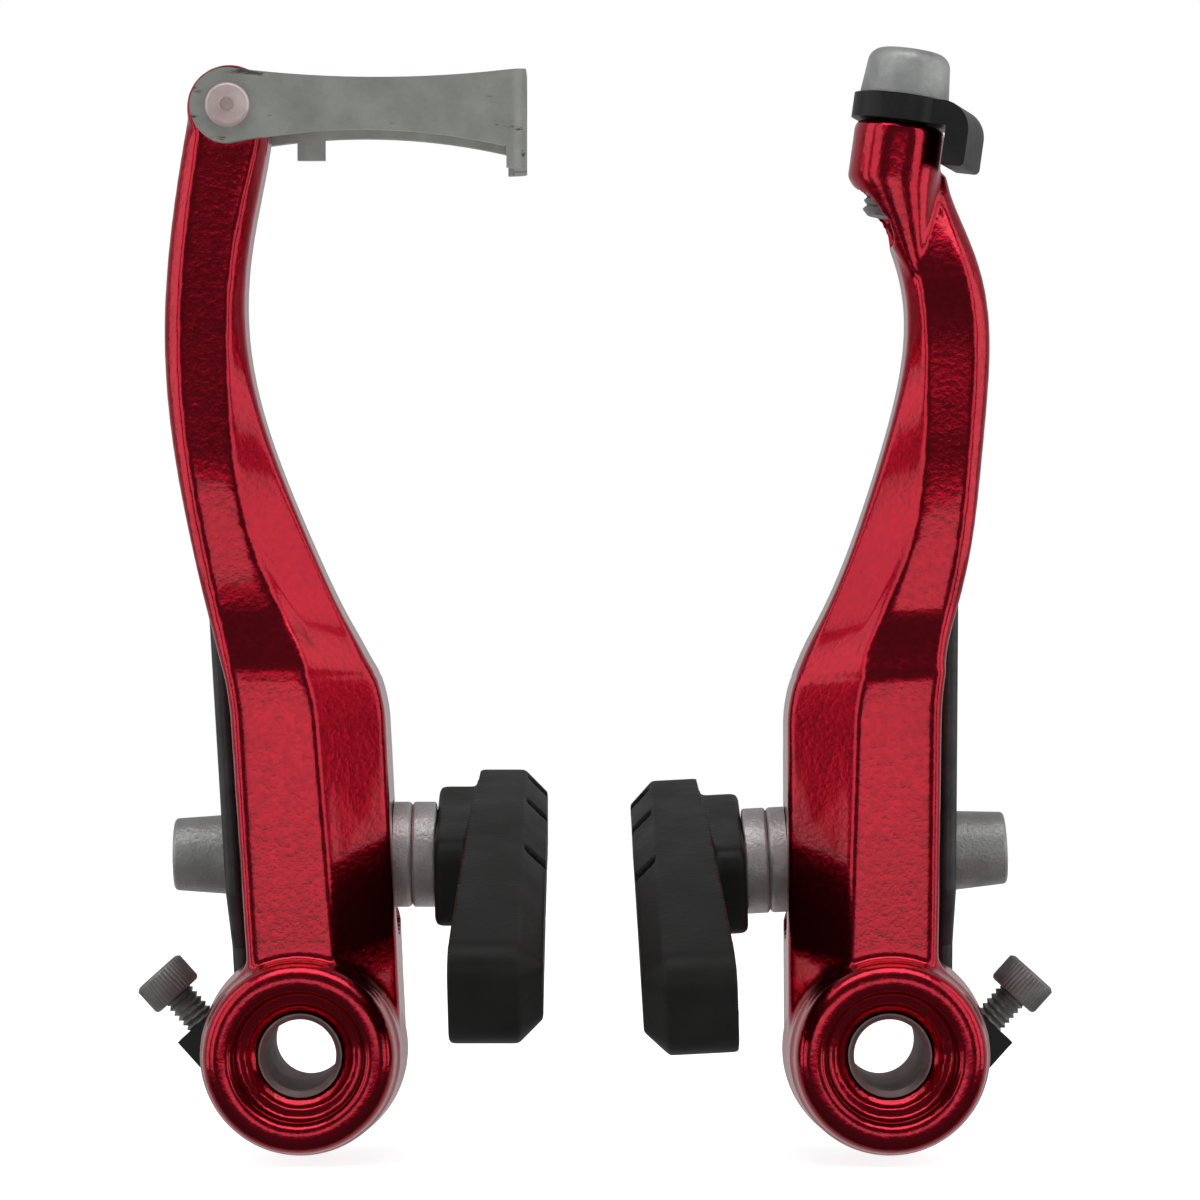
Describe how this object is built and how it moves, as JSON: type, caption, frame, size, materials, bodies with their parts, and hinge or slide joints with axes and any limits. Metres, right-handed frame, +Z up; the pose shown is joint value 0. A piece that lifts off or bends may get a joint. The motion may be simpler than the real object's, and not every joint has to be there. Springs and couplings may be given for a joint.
{
  "type": "v brake",
  "caption": "Linear-pull bicycle brake arms with pads on slotted seats, return springs, noodle link and cable anchor.",
  "frame": {"origin": "midway between the two pivot axes, at pivot height, at the depth of the arms' middle plane", "axes": "+Z up along the arms, +Y back towards the fork along the pivot axes, +X to the right as seen from the front"},
  "size_m": [0.1066, 0.0539, 0.1267],
  "materials": {
    "red_finish": "gloss metallic red over forged aluminium",
    "plated_steel": "dull grey plated steel",
    "sheet_steel": "pressed sheet, dull grey",
    "rivet_steel": "upset rivet, warm grey",
    "bush_steel": "smooth",
    "black_steel": "black oxide",
    "black_plastic": "moulded, semi matt",
    "pad_rubber": "moulded rubber, semi matt"
  },
  "bodies": {
    "fork_side": {"left_pivot_bush": "bush_steel", "left_stop_plate": "plated_steel", "left_spring_holder": "black_plastic", "right_pivot_bush": "bush_steel", "right_stop_plate": "plated_steel", "right_spring_holder": "black_plastic"},
    "left_arm": {"left_arm": "red_finish", "left_return_spring": "black_steel", "link_rivet": "rivet_steel"},
    "right_arm": {"right_arm": "red_finish", "right_return_spring": "black_steel", "anchor_plate": "black_plastic"},
    "noodle_link": {"noodle_link": "sheet_steel"},
    "anchor_bolt": {"anchor_bolt": "plated_steel"},
    "left_pad_washers": {"left_inner_convex_washer": "plated_steel", "left_inner_concave_washer": "plated_steel", "left_outer_convex_washer": "plated_steel", "left_outer_concave_washer": "plated_steel"},
    "left_pad": {"left_pad": "pad_rubber", "left_pad_stud": "plated_steel", "left_pad_nut": "plated_steel"},
    "left_tension_screw": {"left_tension_screw": "plated_steel"},
    "right_pad_washers": {"right_inner_convex_washer": "plated_steel", "right_inner_concave_washer": "plated_steel", "right_outer_convex_washer": "plated_steel", "right_outer_concave_washer": "plated_steel"},
    "right_pad": {"right_pad": "pad_rubber", "right_pad_stud": "plated_steel", "right_pad_nut": "plated_steel"},
    "right_tension_screw": {"right_tension_screw": "plated_steel"}
  },
  "joints": [
    {"name": "left_arm_pivot", "type": "hinge", "parent": "fork_side", "child": "left_arm", "pos_m": [-0.03335, 0, 0], "axis": [0, -1, 0], "range_deg": [-5, 22], "stiffness_Nm_per_rad": 1, "deforming": ["left_return_spring"]},
    {"name": "right_arm_pivot", "type": "hinge", "parent": "fork_side", "child": "right_arm", "pos_m": [0.03335, 0, 0], "axis": [0, 1, 0], "range_deg": [-2, 25], "stiffness_Nm_per_rad": 1, "deforming": ["right_return_spring"]},
    {"name": "link_pivot", "type": "hinge", "parent": "left_arm", "child": "noodle_link", "pos_m": [-0.04165, 0, 0.1076], "axis": [0, -1, 0], "range_deg": [-30, 80]},
    {"name": "left_pad_slide", "type": "slide", "parent": "left_arm", "child": "left_pad_washers", "axis": [0, 0, 1], "range_m": [-0.003, 0.003]},
    {"name": "right_pad_slide", "type": "slide", "parent": "right_arm", "child": "right_pad_washers", "axis": [-0.0523, 0, 0.9986], "range_m": [-0.003, 0.003]},
    {"name": "left_pad_swivel", "type": "hinge", "parent": "left_pad_washers", "child": "left_pad", "pos_m": [-0.03335, 0.0063, 0.022], "axis": [1, 0, 0], "range_deg": [-25, 25]},
    {"name": "right_pad_swivel", "type": "hinge", "parent": "right_pad_washers", "child": "right_pad", "pos_m": [0.0322, 0.0063, 0.02197], "axis": [0.9986, 0, 0.0523], "range_deg": [-25, 25]},
    {"name": "left_screw_turn", "type": "hinge", "parent": "fork_side", "child": "left_tension_screw", "pos_m": [-0.0498, 0.0087, 0.0068], "axis": [0.6691, 0, -0.7431], "continuous": true},
    {"name": "right_screw_turn", "type": "hinge", "parent": "fork_side", "child": "right_tension_screw", "pos_m": [0.0498, 0.0087, 0.0068], "axis": [-0.6691, 0, -0.7431], "continuous": true},
    {"name": "anchor_bolt_turn", "type": "hinge", "parent": "right_arm", "child": "anchor_bolt", "pos_m": [0.03545, 0, 0.10896], "axis": [0.1392, 0, 0.9903], "continuous": true}
  ]
}
